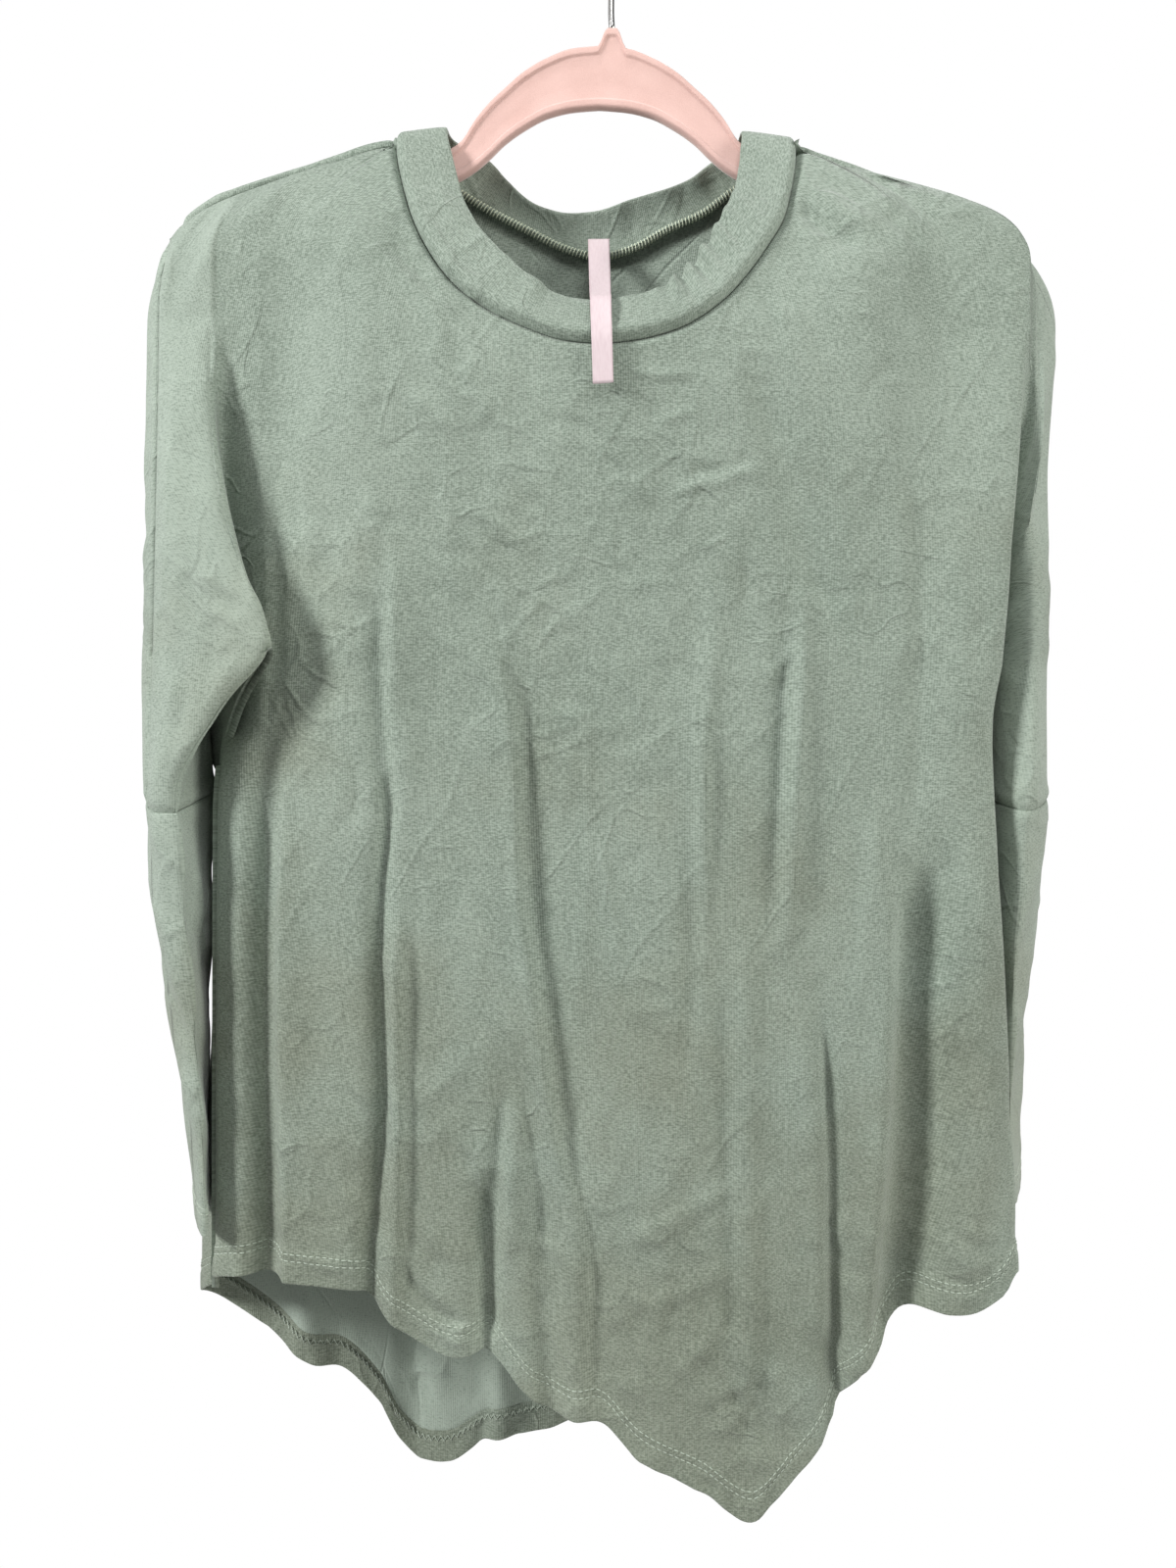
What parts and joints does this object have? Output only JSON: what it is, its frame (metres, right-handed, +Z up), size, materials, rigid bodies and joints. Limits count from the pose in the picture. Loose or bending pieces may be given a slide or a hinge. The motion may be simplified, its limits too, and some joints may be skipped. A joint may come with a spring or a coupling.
{
  "type": "tunic top on hanger",
  "caption": "Long-sleeved jersey tunic top with a folded neck band, narrow lower sleeves and pointed hems, hanging on a flocked hanger with a wire hook.",
  "frame": {"origin": "where the inside top of the hanger's hook rests on its rail", "axes": "+Z up, the tunic's front faces -Y, +X to the right of someone facing the front; the rail runs along Y"},
  "size_m": [0.4777, 0.1096, 0.8486],
  "materials": {
    "jersey": "fine-rib heathered jersey, sage green",
    "neck_ribbon": "satin ribbon, pale pink, blank",
    "flock": "short velvet flock over plastic, pale pink",
    "hook_wire": "plated wire"
  },
  "bodies": {
    "root": {"front": "jersey", "back": "jersey", "sleeve_left": "jersey", "sleeve_right": "jersey", "neck_band": "jersey", "neck_label": "neck_ribbon", "hanger": "flock", "hook": "hook_wire"}
  },
  "joints": []
}
